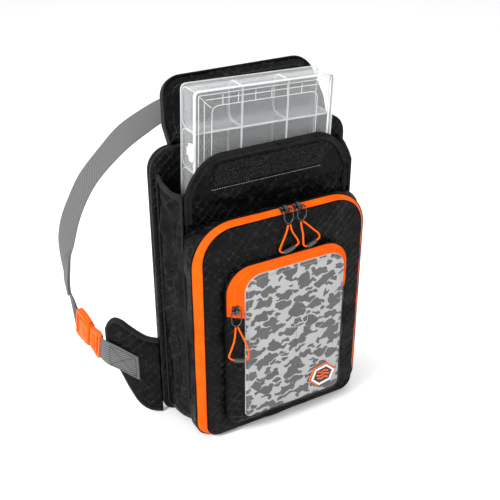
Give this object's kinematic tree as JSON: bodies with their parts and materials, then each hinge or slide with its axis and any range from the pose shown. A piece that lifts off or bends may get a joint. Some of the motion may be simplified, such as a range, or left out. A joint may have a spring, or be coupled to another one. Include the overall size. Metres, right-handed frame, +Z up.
{
  "type": "fishing tackle sling bag with clear tackle tray",
  "caption": "Soft tackle sling bag standing open, with front pockets, a sling strap with a side release buckle, and a clear tackle tray half drawn out of its main compartment.",
  "frame": {"origin": "on the floor, in the middle of the bag's base", "axes": "+Z up, +X to the right seen from the front, the front faces -Y"},
  "size_m": [0.3614, 0.2238, 0.45],
  "materials": {
    "black_cloth": "black woven polyester, padded",
    "ripstop_cloth": "black coated polyester with a diamond ripstop relief and a light sheen",
    "binding_tape": "black ribbed edge tape",
    "fleece": "black brushed loop fastener",
    "orange_tape": "orange coated zip band",
    "print_cloth": null,
    "badge_rubber": "moulded black badge with an orange edge",
    "gunmetal": "dark plated metal, satin",
    "orange_cord": "braided orange cord",
    "grip_rubber": "smoky dark grip, satin",
    "grey_webbing": "grey twill webbing",
    "orange_plastic": "orange acetal, satin gloss",
    "clear_plastic": "clear moulded polypropylene"
  },
  "bodies": {
    "bag": {"back_panel": "black_cloth", "main_gusset": "ripstop_cloth", "gusset_binding_left": "binding_tape", "gusset_binding_right": "binding_tape", "front_wall": "black_cloth", "flap_binding": "binding_tape", "loop_strip": "fleece", "lid": "black_cloth", "lid_binding": "binding_tape", "pocket_gusset": "ripstop_cloth", "pocket_zip_band": "orange_tape", "pocket_foot_strip": "black_cloth", "pocket_panel": "black_cloth", "small_pocket_side": "ripstop_cloth", "small_zip_band": "orange_tape", "small_foot_strip": "ripstop_cloth", "print_panel": "print_cloth", "badge": "badge_rubber", "slider_1": "gunmetal", "slider_2": "gunmetal", "slider_3": "gunmetal", "pull_wire_1": "gunmetal", "pull_wire_2": "gunmetal", "pull_wire_3": "gunmetal", "pull_cord_1": "orange_cord", "pull_cord_2": "orange_cord", "pull_cord_3": "orange_cord", "pull_grip_1": "grip_rubber", "pull_grip_2": "grip_rubber", "pull_grip_3": "grip_rubber", "strap": "grey_webbing", "strap_tail": "grey_webbing", "wing": "ripstop_cloth", "buckle_tab": "grey_webbing", "buckle_tongue": "orange_plastic", "buckle_frame": "orange_plastic"},
    "tray": {"tray_base": "clear_plastic", "tray_lid": "clear_plastic", "tray_latch_1": "clear_plastic", "tray_latch_2": "clear_plastic"}
  },
  "joints": [
    {"name": "tray_slide", "type": "slide", "parent": "bag", "child": "tray", "axis": [0.0349, 0, 0.9994], "range_m": [-0.165, 0.21]}
  ]
}
